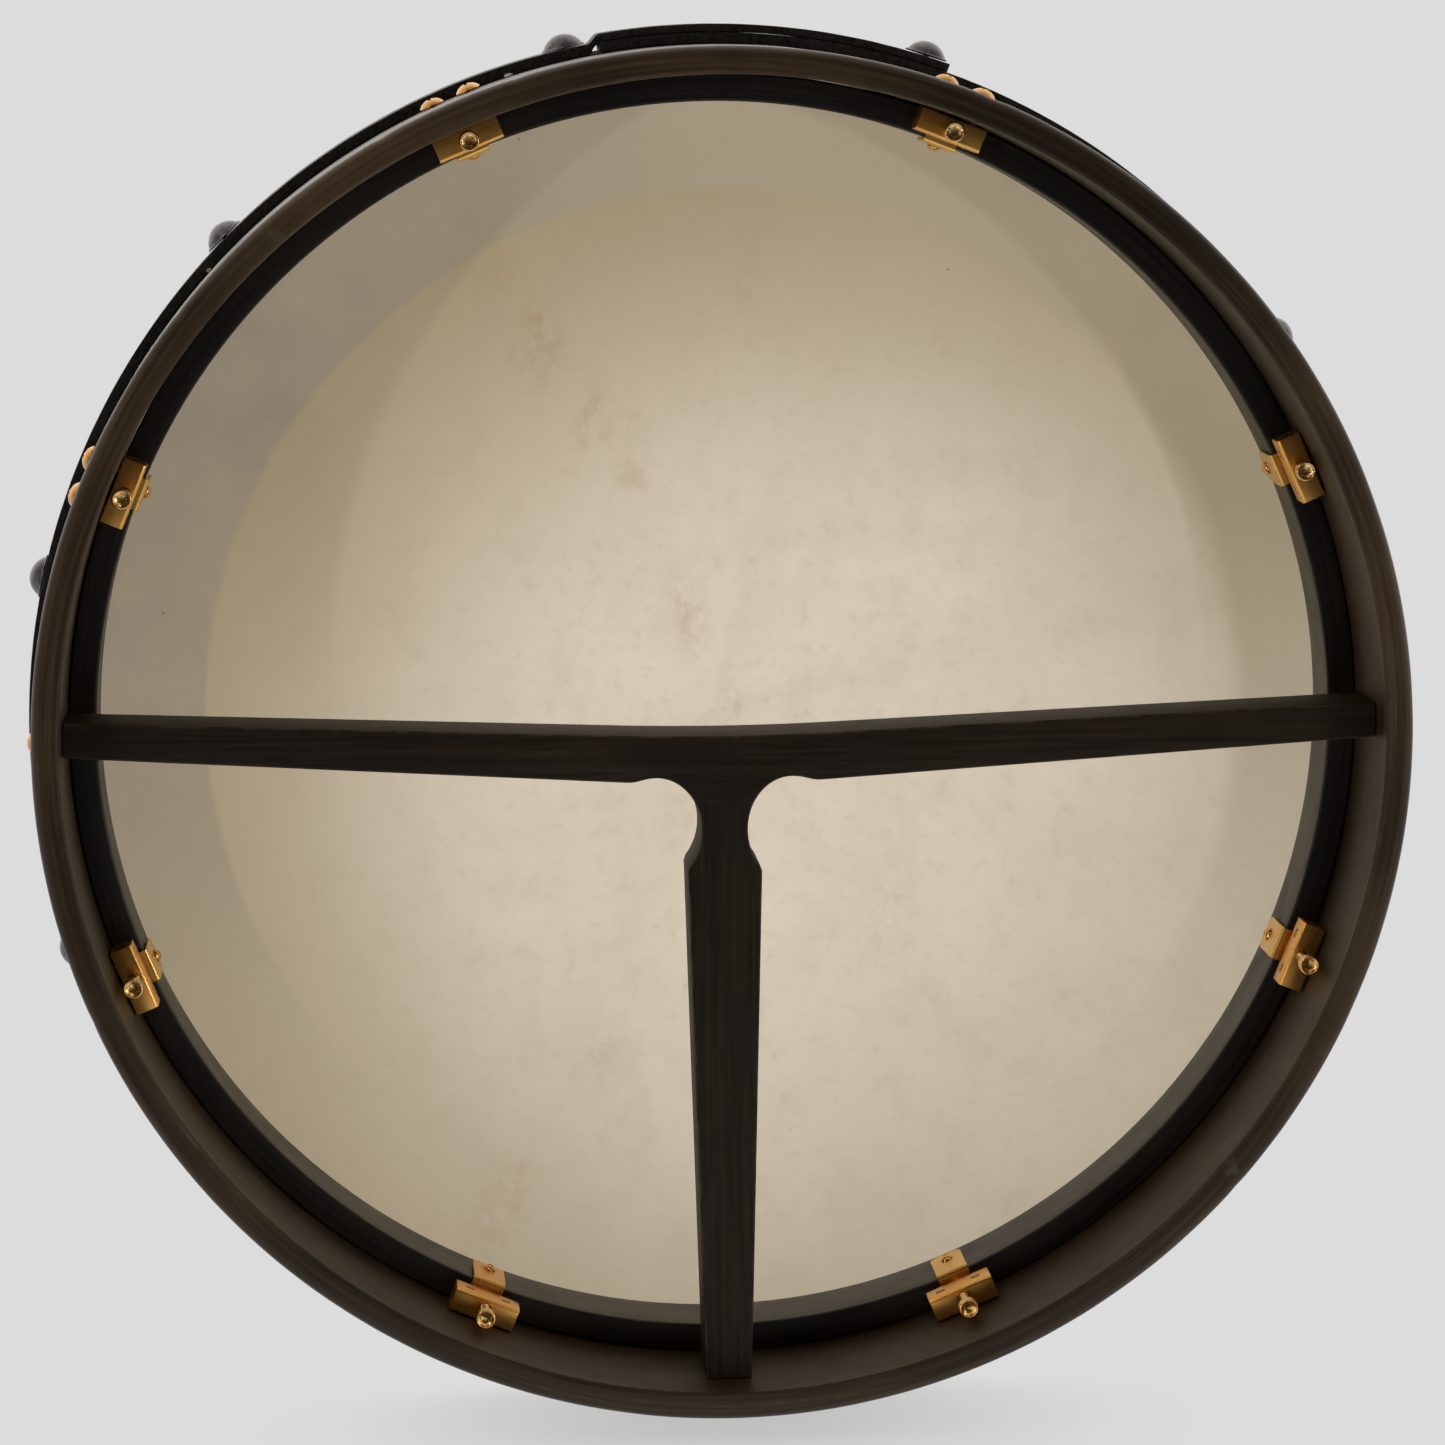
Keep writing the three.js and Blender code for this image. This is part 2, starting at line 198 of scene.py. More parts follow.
def hoop(name, profile, steps=ROUND_STEPS, shift=None):
    """A closed (radius, axial) profile turned round the drum's axis, each point moved by shift."""
    rows = []
    for i in range(steps):
        angle = tau * i / steps
        row = []
        for radius, axial in profile:
            dr, dy = shift(angle, radius, axial) if shift else (0, 0)
            row.append(polar(radius + dr, axial + dy, angle))
        rows.append(row)
    return grid_object(name, rows, wrap_rows=True, wrap_columns=True)


def turned(name, columns, steps, matrix):
    """A piece turned about its own axis. A column is (radius, height); either may depend on the angle."""
    rows = []
    for i in range(steps):
        a = tau * i / steps
        row = []
        for radius, height in columns:
            r = radius(a) if callable(radius) else radius
            h = height(a) if callable(height) else height
            row.append(matrix @ Vector((r * cos(a), r * sin(a), h)))
        rows.append(row)
    return grid_object(name, rows, wrap_rows=True)


def bevelled(obj, width, segments, edges=None):
    """Rounds the object's edges, all of them or those that the test picks."""
    body = bmesh.new()
    body.from_mesh(obj.data)
    picked = [e for e in body.edges if edges is None or edges(e)]
    bmesh.ops.bevel(body, geom=picked, offset=width, segments=segments, profile=0.5,
                    affect="EDGES", clamp_overlap=True)
    body.to_mesh(obj.data)
    body.free()
    return obj


def cut(obj, tools):
    """Takes the tools' volumes out of the object, and deletes the tools."""
    for tool in tools:
        modifier = obj.modifiers.new("cut", "BOOLEAN")
        modifier.operation = "DIFFERENCE"
        modifier.solver = "EXACT"
        modifier.object = tool
    depsgraph = bpy.context.evaluated_depsgraph_get()
    mesh = bpy.data.meshes.new_from_object(obj.evaluated_get(depsgraph))
    obj.modifiers.clear()
    obj.data = mesh
    for tool in tools:
        bpy.data.objects.remove(tool)
    return obj


def placed_copy(template, name, matrix):
    """A copy of a template that was built in station axes."""
    obj = scene_object(name, template.data.copy())
    obj.data.transform(matrix)
    return obj


def dress(obj, material, nodes=(), sharp=32, body="drum_frame"):
    """Smooth shading up to an angle, the material, the body it rides on and what it stands for."""
    obj.data.materials.clear()
    obj.data.materials.append(material)
    obj.data.shade_smooth()
    obj.data.set_sharp_from_angle(angle=radians(sharp))
    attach(obj, body)
    if nodes:
        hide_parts(*nodes)
    return obj


# ======== material helpers ========

Spot = namedtuple("Spot", "place x y z radius")


def new_material(name):
    """An empty material, its node tree and the shaded point."""
    material = bpy.data.materials.new(name)
    material.use_nodes = True
    material.node_tree.nodes.clear()
    return material, material.node_tree, coordinates(material.node_tree)


def feed(tree, socket, value):
    """Links another node's socket to this one, or sets this one's value."""
    if isinstance(value, bpy.types.NodeSocket):
        tree.links.new(value, socket)
    else:
        socket.default_value = value


def put(tree, kind, inputs=None, **settings):
    """Adds a shader node. Its inputs are given by name or number, as values or as sockets to link."""
    node = tree.nodes.new("ShaderNode" + kind)
    for key, value in settings.items():
        setattr(node, key, value)
    for key, value in (inputs or {}).items():
        feed(tree, node.inputs[key], value)
    return node


def maths(tree, operation, first, second=0.0, clamp=False):
    node = put(tree, "Math", {0: first, 1: second}, operation=operation, use_clamp=clamp)
    return node.outputs[0]


def times(tree, first, *others):
    for other in others:
        first = maths(tree, "MULTIPLY", first, other)
    return first


def plus(tree, first, second, clamp=False):
    return maths(tree, "ADD", first, second, clamp)


def minus(tree, first, second):
    return maths(tree, "SUBTRACT", first, second)


def ramp(tree, value, low, high, out_low=0.0, out_high=1.0):
    """A smooth step from out_low to out_high as the value goes from low to high."""
    node = put(tree, "MapRange", {
        "Value": value, "From Min": low, "From Max": high, "To Min": out_low, "To Max": out_high,
    }, interpolation_type="SMOOTHSTEP")
    return node.outputs["Result"]


def blend(tree, factor, first, second):
    """Mixes two colours, each a socket or three numbers."""
    node = put(tree, "Mix", {"Factor": factor}, data_type="RGBA")
    ends = [s for s in node.inputs if s.type == "RGBA"]
    for socket, value in zip(ends, (first, second)):
        feed(tree, socket, (*value, 1.0) if isinstance(value, tuple) else value)
    return [s for s in node.outputs if s.type == "RGBA"][0]


def coordinates(tree):
    """The shaded point in the drum's own frame: a vector, its parts and its distance from the axis."""
    place = put(tree, "TexCoord").outputs["Object"]
    parts = put(tree, "SeparateXYZ", {0: place}).outputs
    flat = put(tree, "CombineXYZ", {"X": parts["X"], "Z": parts["Z"]}).outputs[0]
    radius = put(tree, "VectorMath", {0: flat}, operation="LENGTH").outputs["Value"]
    return Spot(place, parts["X"], parts["Y"], parts["Z"], radius)


def noise_value(tree, vector, scale=1.0, detail=4.0, roughness=0.55, fourth=None, distortion=0.0):
    inputs = {"Vector": vector, "Scale": scale, "Detail": detail, "Roughness": roughness,
              "Distortion": distortion}
    if fourth is not None:
        inputs["W"] = fourth
    dimensions = "3D" if fourth is None else "4D"
    return put(tree, "TexNoise", inputs, noise_dimensions=dimensions).outputs[0]


def stretched_noise(tree, spot, scales, detail, roughness, **others):
    """Noise with a scale of its own along each axis, the smallest one along the fibres."""
    sockets = [times(tree, s, k) for s, k in zip((spot.x, spot.y, spot.z), scales)]
    vector = put(tree, "CombineXYZ", dict(zip("XYZ", sockets))).outputs[0]
    return noise_value(tree, vector, 1.0, detail, roughness, **others)


def cell_distance(tree, vector, scale, feature="F1"):
    """Distance to the nearest cell centre, soft between cells where the feature says so."""
    inputs = {"Vector": vector, "Scale": scale}
    return put(tree, "TexVoronoi", inputs, feature=feature).outputs["Distance"]


def bump(tree, height, distance, strength, normal=None):
    inputs = {"Height": height, "Distance": distance, "Strength": strength}
    if normal is not None:
        inputs["Normal"] = normal
    return put(tree, "Bump", inputs).outputs[0]


def face_normal(tree):
    normal = put(tree, "NewGeometry").outputs["True Normal"]
    return put(tree, "SeparateXYZ", {0: normal}).outputs


def edge_wear(tree, low, high):
    """1 on convex edges, 0 elsewhere. It needs a mesh that is fine everywhere."""
    pointy = put(tree, "NewGeometry").outputs["Pointiness"]
    return ramp(tree, pointy, low, high)


def hoop_edges(tree):
    return edge_wear(tree, 0.515, 0.60)


def bar_edges(tree):
    """1 where the hand bar's long edges are rounded, 0 on its flat faces. These edges are painted lighter,
    partly as a painted highlight.
    """
    lean = maths(tree, "ABSOLUTE", face_normal(tree)["Y"])
    return times(tree, ramp(tree, lean, 0.15, 0.40), ramp(tree, lean, 0.995, 0.93))


def mix_shaders(tree, factor, first, second):
    return put(tree, "MixShader", {0: factor, 1: first.outputs[0], 2: second.outputs[0]})


def finish_surface(tree, shader):
    put(tree, "OutputMaterial", {"Surface": shader.outputs[0]})


# ======== materials ========

def lacquered_wood(name, dark, light, grain, edges, roughness, gloss, scuffing=0.0, unevenness=1.0,
                   painted_light_mask=None):
    """Stained wood under satin lacquer. grain() gives the noise along the fibres, edges() the edges
    painted lighter:
    scuffed, and on the hand bar also a painted highlight. The optional last mask gives the places painted
    a lighter brown as painted light."""
    material, tree, spot = new_material(name)
    fibres = grain(tree, spot)
    clouds = noise_value(tree, spot.place, 14, 3)
    tone = ramp(tree, plus(tree, times(tree, fibres, 0.65), times(tree, clouds, 0.35)), 0.36, 0.66)
    colour = blend(tree, tone, dark, light)
    patchy = noise_value(tree, spot.place, 90, 5, 0.7)
    # painted light: a lighter brown on the wood where the last mask says light falls
    if painted_light_mask:
        lightened = blend(tree, tone, (0.060, 0.037, 0.020), (0.125, 0.078, 0.042))
        colour = blend(tree, painted_light_mask(tree, spot), colour, lightened)
    # edges painted lighter: scuffed edges, and on the hand bar also a painted highlight along its rounded
    # edges
    wear_and_highlight_colour = (0.10, 0.080, 0.060)
    wear_and_highlight = times(tree, edges(tree), ramp(tree, patchy, 0.40, 0.62), 0.55)
    colour = blend(tree, wear_and_highlight, colour, wear_and_highlight_colour)
    scuffs = times(tree, ramp(tree, fibres, 0.56, 0.70), ramp(tree, patchy, 0.47, 0.62), scuffing)
    colour = blend(tree, scuffs, colour, wear_and_highlight_colour)
    speck = ramp(tree, cell_distance(tree, spot.place, 70), 0.035, 0.02)
    keep = ramp(tree, noise_value(tree, spot.place, 23, 1), 0.60, 0.66)
    colour = blend(tree, times(tree, speck, keep, 0.5), colour, (0.30, 0.29, 0.27))
    smudges = noise_value(tree, spot.place, 48, 4, 0.6)
    rough = ramp(tree, plus(tree, times(tree, smudges, 0.6), times(tree, fibres, 0.4)), 0.30, 0.70,
                 roughness - 0.04 * unevenness, roughness + 0.07 * unevenness)
    normal = bump(tree, fibres, 0.00022, 0.35)
    normal = bump(tree, smudges, 0.0006, 0.25 * unevenness, normal)
    finish_surface(tree, put(tree, "BsdfPrincipled", {
        "Base Color": colour, "Roughness": rough, "Normal": normal, "Specular IOR Level": gloss}))
    return material


def hoop_grain(tree, spot):
    """Fibres that run round a bent hoop."""
    through = times(tree, spot.radius, 700)
    return stretched_noise(tree, spot, (14, 700, 14), 5, 0.62, fourth=through, distortion=0.3)


def painted_rim_light(tree, spot):
    """Painted light on the back rim: lighter brown where light falls, most at the upper left, a little at
    the right.
    """
    back = CAD_BOX[0].y
    at_rim = ramp(tree, spot.y, back + 7 * MM, back + 2 * MM)
    upper_left = times(tree, direction_weight(tree, spot, 132, 0.30), 0.60)
    right = times(tree, direction_weight(tree, spot, 5, 0.12), 0.45)
    clouds = stretched_noise(tree, spot, (26, 26, 26), 4, 0.6)
    clouds = ramp(tree, clouds, 0.25, 0.62, 0.45, 1.0)
    return times(tree, at_rim, clouds, plus(tree, upper_left, right, clamp=True))


def bar_grain(tree, spot):
    """Fibres along the cross bar, turning down the stem below the junction."""
    across = stretched_noise(tree, spot, (16, 620, 620), 5, 0.62, distortion=0.4)
    down = stretched_noise(tree, spot, (620, 620, 16), 5, 0.62, distortion=0.4)
    stem = ramp(tree, spot.z, -0.014, -0.03)
    return plus(tree, times(tree, across, minus(tree, 1.0, stem)), times(tree, down, stem))


def distance_from(tree, spot, centre, stretch=1.0):
    """Distance in the skin's plane from a point, with the sideways part stretched."""
    dx = times(tree, minus(tree, spot.x, centre[0]), stretch)
    dz = minus(tree, spot.z, centre[1])
    return maths(tree, "SQRT", plus(tree, times(tree, dx, dx), times(tree, dz, dz)))


def direction_weight(tree, spot, towards, width):
    """1 towards an angle in degrees seen from the skin's middle, 0 on the far side."""
    a = radians(towards)
    along = plus(tree, times(tree, spot.x, cos(a)), times(tree, spot.z, sin(a)))
    cosine = maths(tree, "DIVIDE", along, maths(tree, "MAXIMUM", spot.radius, 0.001))
    return ramp(tree, cosine, 1 - 2 * width, 1.0)


def goatskin():
    """Cream hide with painted light: brightest low on the right and tan towards the upper left, painted
    shade and two painted shadow arcs by the rim, mottling and old stains.
    """
    material, tree, spot = new_material("goatskin")
    # painted light and shade: a bright middle, shade next to the rim and two shadow arcs
    colour = hide_painted_light(tree, spot)
    broad = noise_value(tree, spot.place, 16, 4, 0.6)
    fine = noise_value(tree, spot.place, 170, 5, 0.7)
    colour = hide_mottling(tree, spot, colour, broad, fine)
    colour = hide_stains(tree, spot, colour)
    normal = bump(tree, fine, 0.00022, 0.35)
    normal = bump(tree, broad, 0.0016, 0.20, normal)
    front = put(tree, "BsdfPrincipled", {
        "Base Color": colour, "Roughness": ramp(tree, fine, 0.3, 0.7, 0.50, 0.66), "Normal": normal,
        "Specular IOR Level": 0.25, "Sheen Weight": 0.04})
    through = put(tree, "BsdfTranslucent", {"Color": colour, "Normal": normal})
    face = mix_shaders(tree, 0.62, front, through)
    # a ray inside the hide has already been scattered once, so it leaves freely
    leaving = put(tree, "NewGeometry").outputs["Backfacing"]
    clear = put(tree, "BsdfTransparent")
    finish_surface(tree, mix_shaders(tree, leaving, face, clear))
    return material


def hide_painted_light(tree, spot):
    """Painted light on the hide: a bright middle, painted shade next to the rim, and two painted shadow
    arcs that cross it at each side of the top.
    """
    wobble = times(tree, minus(tree, noise_value(tree, spot.place, 9, 2), 0.5), 0.004)

    def outside(centre, inner, outer):
        return ramp(tree, plus(tree, distance_from(tree, spot, centre), wobble), inner, outer)

    # the middle: a painted light falloff, cream and brightest near a point low on the right, darker and
    # tan away from it and towards the edge
    painted_falloff = ramp(tree, distance_from(tree, spot, (0.045, -0.050)), 0.09, 0.265, 0.0, 0.85)
    colour = blend(tree, ramp(tree, spot.radius, 0.06, 0.19, 0.0, 0.55),
                   (0.655, 0.582, 0.475), (0.455, 0.402, 0.315))
    colour = blend(tree, painted_falloff, colour, (0.285, 0.222, 0.120))

    # painted shade in the zone next to the rim: darkest at the left and top, faint at the bottom, with a
    # softer edge on the right
    soft_side = ramp(tree, spot.x, -0.05, 0.15, 0.0, 0.004)
    zone = outside((0.005, 0.0), minus(tree, 0.1775, soft_side), plus(tree, 0.1800, soft_side))
    rim_shade_colour = blend(tree, ramp(tree, spot.z, -0.15, 0.08), (0.475, 0.418, 0.330), (0.345, 0.298, 0.210))
    rim_shade_colour = blend(tree, direction_weight(tree, spot, 165, 0.45), rim_shade_colour, (0.275, 0.235, 0.175))
    fade = ramp(tree, spot.z, -0.14, 0.0, 0.12, 1.0)
    colour = blend(tree, times(tree, zone, fade), colour, rim_shade_colour)

    # two painted shadow arcs, larger rounds that show in the upper half
    upper = ramp(tree, spot.z, -0.02, 0.09, 0.0, 0.17)
    left_shadow_arc = times(tree, outside((0.089, 0.016), 0.216, 0.222), upper)
    colour = blend(tree, left_shadow_arc, colour, (0.10, 0.08, 0.06))
    upper = ramp(tree, spot.z, 0.0, 0.08, 0.0, 0.22)
    right_shadow_arc = times(tree, outside((-0.040, 0.004), 0.2115, 0.2155), upper)
    colour = blend(tree, right_shadow_arc, colour, (0.16, 0.115, 0.05))
    return blend(tree, ramp(tree, spot.radius, 0.222, 0.226), colour, (0.80, 0.73, 0.60))


def hide_mottling(tree, spot, colour, broad, fine):
    """Clouds at three sizes, pores and a few dark flecks."""
    colour = blend(tree, ramp(tree, broad, 0.35, 0.68, 0.0, 0.17), colour, (0.42, 0.35, 0.24))
    patches = stretched_noise(tree, spot, (52, 52, 44), 5, 0.65)
    colour = blend(tree, ramp(tree, patches, 0.46, 0.70, 0.0, 0.16), colour, (0.36, 0.30, 0.20))
    colour = blend(tree, ramp(tree, fine, 0.50, 0.80, 0.0, 0.28), colour, (0.36, 0.28, 0.18))
    pores = ramp(tree, cell_distance(tree, spot.place, 480), 0.16, 0.05)
    colour = blend(tree, times(tree, pores, 0.10), colour, (0.30, 0.22, 0.14))
    fleck = ramp(tree, cell_distance(tree, spot.place, 26), 0.014, 0.007)
    return blend(tree, times(tree, fleck, 0.7), colour, (0.08, 0.05, 0.03))


def hide_stains(tree, spot, colour):
    """Soft brown stains broken up by noise: middle, half width, strength."""
    stains = (
        ((-0.058, 0.128), 0.017, 0.60), ((-0.040, 0.100), 0.013, 0.50), ((-0.027, 0.081), 0.010, 0.40),
        ((-0.074, 0.156), 0.016, 0.40), ((-0.008, 0.033), 0.013, 0.45), ((0.007, 0.004), 0.012, 0.30),
        ((-0.070, -0.168), 0.016, 0.35), ((-0.082, -0.182), 0.014, 0.30), ((-0.037, -0.118), 0.022, 0.20),
        ((0.060, -0.075), 0.020, 0.14), ((0.012, 0.152), 0.014, 0.25),
    )
    breakup = ramp(tree, stretched_noise(tree, spot, (170, 170, 130), 6, 0.68), 0.38, 0.66)
    for centre, size, weight in stains:
        stain = ramp(tree, distance_from(tree, spot, centre, 1.7), size * 1.4, size * 0.1)
        colour = blend(tree, times(tree, stain, breakup, weight * 0.75), colour, (0.29, 0.195, 0.075))
    return colour


def polished_brass(name, roughness, tint=(0.93, 0.56, 0.19)):
    """Lacquered yellow brass: faint drawing lines, warmer clouds, a few dull spots."""
    material, tree, spot = new_material(name)
    cloud = noise_value(tree, spot.place, 55, 3, 0.5)
    warm = tuple(t * k for t, k in zip(tint, (0.94, 0.84, 0.70)))
    colour = blend(tree, ramp(tree, cloud, 0.35, 0.7), tint, warm)
    spots = ramp(tree, cell_distance(tree, spot.place, 420), 0.10, 0.04)
    rare = ramp(tree, noise_value(tree, spot.place, 75, 2), 0.58, 0.66)
    colour = blend(tree, times(tree, spots, rare, 0.5), colour, (0.35, 0.17, 0.05))
    lines = stretched_noise(tree, spot, (900, 3600, 900), 3, 0.6)
    mixed = plus(tree, times(tree, cloud, 0.7), times(tree, lines, 0.3))
    normal = bump(tree, lines, 0.000012, 0.25)
    rough = ramp(tree, mixed, 0.3, 0.7, roughness * 0.8, roughness * 1.25)
    finish_surface(tree, put(tree, "BsdfPrincipled", {
        "Base Color": colour, "Metallic": 1.0, "Roughness": rough, "Normal": normal}))
    return material


def black_leather():
    """Vegetable-tanned strip dyed black: pebbled face, creases, and a browner, furry cut edge."""
    material, tree, spot = new_material("black_leather")
    cut_edge = ramp(tree, maths(tree, "ABSOLUTE", face_normal(tree)["Y"]), 0.65, 0.95)
    pebbles = cell_distance(tree, spot.place, 1150)
    creases = stretched_noise(tree, spot, (90, 420, 90), 6, 0.68, distortion=0.8)
    cloud = noise_value(tree, spot.place, 45, 4)
    colour = blend(tree, ramp(tree, cloud, 0.35, 0.7), (0.0085, 0.0085, 0.0095), (0.021, 0.020, 0.020))
    colour = blend(tree, times(tree, ramp(tree, creases, 0.58, 0.75), 0.4), colour, (0.045, 0.042, 0.04))
    scuffs = times(tree, edge_wear(tree, 0.52, 0.62), ramp(tree, creases, 0.42, 0.60), 0.6)
    colour = blend(tree, scuffs, colour, (0.085, 0.080, 0.076))
    fibres = stretched_noise(tree, spot, (700, 700, 700), 6, 0.8)
    fur = times(tree, cut_edge, ramp(tree, fibres, 0.35, 0.75))
    colour = blend(tree, fur, colour, (0.050, 0.044, 0.037))
    rough = plus(tree, ramp(tree, creases, 0.35, 0.65, 0.42, 0.62), times(tree, cut_edge, 0.25))
    normal = bump(tree, pebbles, 0.00008, 0.35)
    normal = bump(tree, creases, 0.00025, 0.35, normal)
    normal = bump(tree, times(tree, fibres, cut_edge), 0.0004, 0.4, normal)
    finish_surface(tree, put(tree, "BsdfPrincipled", {
        "Base Color": colour, "Roughness": rough, "Normal": normal, "Specular IOR Level": 0.07}))
    return material


def gunmetal():
    """Dark antique nail heads, rubbed brighter on the crown."""
    material, tree, spot = new_material("gunmetal")
    cloud = noise_value(tree, spot.place, 260, 5, 0.7)
    lightened = times(tree, edge_wear(tree, 0.50, 0.58), ramp(tree, cloud, 0.35, 0.65), 0.5)
    colour = blend(tree, ramp(tree, cloud, 0.35, 0.7), (0.050, 0.048, 0.052), (0.115, 0.108, 0.108))
    colour = blend(tree, lightened, colour, (0.30, 0.28, 0.27))
    hammered = cell_distance(tree, spot.place, 620, "SMOOTH_F1")
    normal = bump(tree, hammered, 0.0002, 0.35)
    normal = bump(tree, cloud, 0.0001, 0.4, normal)
    rough = ramp(tree, cloud, 0.3, 0.7, 0.26, 0.46)
    finish_surface(tree, put(tree, "BsdfPrincipled", {
        "Base Color": colour, "Metallic": 0.9, "Roughness": rough, "Normal": normal}))
    return material


def pale_floor(middle):
    """A pale matt floor that fades into the backdrop away from the drum."""
    material, tree, spot = new_material("pale_floor")
    dy = minus(tree, spot.y, middle)
    distance = maths(tree, "SQRT", plus(tree, times(tree, spot.x, spot.x), times(tree, dy, dy)))
    paper = noise_value(tree, spot.place, 60, 3)
    shade = blend(tree, ramp(tree, paper, 0.3, 0.7, 0.0, 0.04), (0.80, 0.80, 0.80), (0.76, 0.76, 0.76))
    matt = put(tree, "BsdfDiffuse", {"Color": shade})
    camera_ray = put(tree, "LightPath").outputs["Is Camera Ray"]
    for_others = ramp(tree, spot.y, -1.2, 0.4, 0.11, 1.15)
    strength = put(tree, "Mix", {"Factor": camera_ray, "A": for_others, "B": BACKDROP})
    glow = put(tree, "Emission", {"Color": (1, 1, 1, 1), "Strength": strength.outputs[0]})
    fade = ramp(tree, distance, 0.0, 0.20, 0.7, 1.0)
    finish_surface(tree, mix_shaders(tree, fade, matt, glow))
    return material


# ======== wood ========

def build_shell(material):
    low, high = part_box("shell")
    outer, inner = high.x, high.x - SHELL_WALL
    back, front = low.y, high.y
    ro, ri = SHELL_OUTER_ROUND, SHELL_INNER_ROUND
    profile = (
        arc((outer - ro, front - ro), ro, 90, 0, 8)
        + [(outer, front - (front - back) * t) for t in (0.2, 0.4, 0.6, 0.8)]
        + arc((outer - ro, back + ro), ro, 0, -90, 12)
        + arc((inner + ri, back + ri), ri, -90, -180, 8)
        + [(inner, back + (front - back) * t) for t in (0.2, 0.4, 0.6, 0.8)]
        + arc((inner + ri, front - ri), ri, 180, 90, 6)
    )
    # shallow knocks on the back edge's outer corner: place and half width in degrees, depth
    knocks = ((67, 1.3, 0.35 * MM), (107, 0.9, 0.3 * MM), (119, 1.1, 0.35 * MM),
              (141, 0.8, 0.25 * MM), (203, 1.0, 0.2 * MM), (318, 1.0, 0.2 * MM))

    def shift(angle, radius, axial):
        if axial > back + 2.2 * ro or radius < outer - 1.6 * ro:
            return 0, 0
        soft = circle_noise(angle, 9, 3.0) * 0.10 * MM
        dent = 0
        for place, half_width, depth in knocks:
            off = abs((degrees(angle) - place + 180) % 360 - 180)
            dent += depth * (1 - smooth_step(off / half_width))
        return -dent * 0.7 - abs(soft), dent * 0.5

    shell = hoop("shell_wood", profile, 720, shift)
    return dress(shell, material, ("shell",))


def build_ring(material):
    low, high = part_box("tuning_ring")
    outer = high.x + RING_SNUG
    inner = min(hypot(p.x, p.z) for p in node_points("tuning_ring"))
    r = RING_ROUND
    profile = (
        arc((outer - r, high.y - r), r, 90, 0, 5)
        + arc((outer - r, low.y + r), r, 0, -90, 5)
        + arc((inner + r, low.y + r), r, -90, -180, 6)
        + [(inner, low.y + (high.y - low.y) * t) for t in (0.25, 0.5, 0.75)]
        + arc((inner + r, high.y - r), r, 180, 90, 5)
    )

    def shift(angle, radius, axial):
        wave = circle_noise(angle, 5, 7.0) * 0.08 * MM
        return 0, wave if axial < low.y + 2 * r else 0

    ring = hoop("tuning_hoop", profile, 480, shift)
    return dress(ring, material, ("tuning_ring",), body="tuning_ring")


def t_bar_half(end_radius):
    """Right half of the hand bar's outline, from the middle of its top edge to its foot, in x and z.
    The shape's own values are in millimetres."""
    top_middle, crown = (0.0, 0.2), (36.0, 0.9)
    end_top, end_bottom = 8.0, -3.7
    lip = (32.2, -15.1)
    scallop = (22.8, -13.7)
    neck = (7.7, -31.5)
    flare_radius, flare_drop = 20.0, 12.0
    shoulder = (12.4, -45.5)
    foot_half = 7.7
    radius = end_radius / MM
    points = []
    for i in range(9):  # the top edge dips slightly in the middle
        t = i / 9
        points.append((crown[0] * t, top_middle[1] + (crown[1] - top_middle[1]) * t * t))
    points.append(crown)
    for i in range(7):
        z = end_top + (end_bottom - end_top) * i / 6
        points.append((sqrt(radius ** 2 - z ** 2), z))
    points.append(lip)
    for i in range(1, 7):  # a soft lip into the scallop
        points.append((cubic(lip[0], lip[0] - 3, scallop[0] + 4, scallop[0], i / 6),
                       cubic(lip[1], lip[1] - 0.2, scallop[1], scallop[1], i / 6)))
    for i in range(1, 21):  # the scallop, a quarter of an ellipse
        a = radians(90 + 90 * i / 20)
        points.append((scallop[0] + (scallop[0] - neck[0]) * cos(a),
                       neck[1] + (scallop[1] - neck[1]) * sin(a)))
    flare = asin(flare_drop / flare_radius)
    for i in range(1, 13):  # the neck widens again on a round
        a = pi + flare * i / 12
        points.append((neck[0] + flare_radius + flare_radius * cos(a),
                       neck[1] + flare_radius * sin(a)))
    points.append(shoulder)
    points.append((foot_half, -sqrt(radius ** 2 - foot_half ** 2)))
    return [(x * MM, z * MM) for x, z in points]


def build_t_bar(material):
    low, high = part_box("t_bar")
    arm_half = 6 * MM
    at_wall = 2.5 * MM  # edges this near the shell stay sharp
    half = t_bar_half(hypot(high.x, arm_half))
    outline = half + [(-x, z) for x, z in reversed(half[1:])]
    count = len(outline)
    points = [Vector((x, high.y, z)) for x, z in outline] + [Vector((x, low.y, z)) for x, z in outline]
    faces = [tuple(range(count)), tuple(range(count, 2 * count))]
    faces += [(i, (i + 1) % count, count + (i + 1) % count, count + i) for i in range(count)]
    bar = mesh_object("hand_bar", points, faces)

    def long_edge(e):
        a, b = e.verts[0].co, e.verts[1].co
        flat = abs(a.y - b.y) < 1e-6
        at_end = min(abs(a.x), abs(b.x)) > high.x - at_wall or max(a.z, b.z) < low.z + at_wall
        return flat and not at_end

    bevelled(bar, 0.8 * MM, 4, long_edge)
    return dress(bar, material, ("t_bar",), sharp=38)


# ======== skin and leather ========

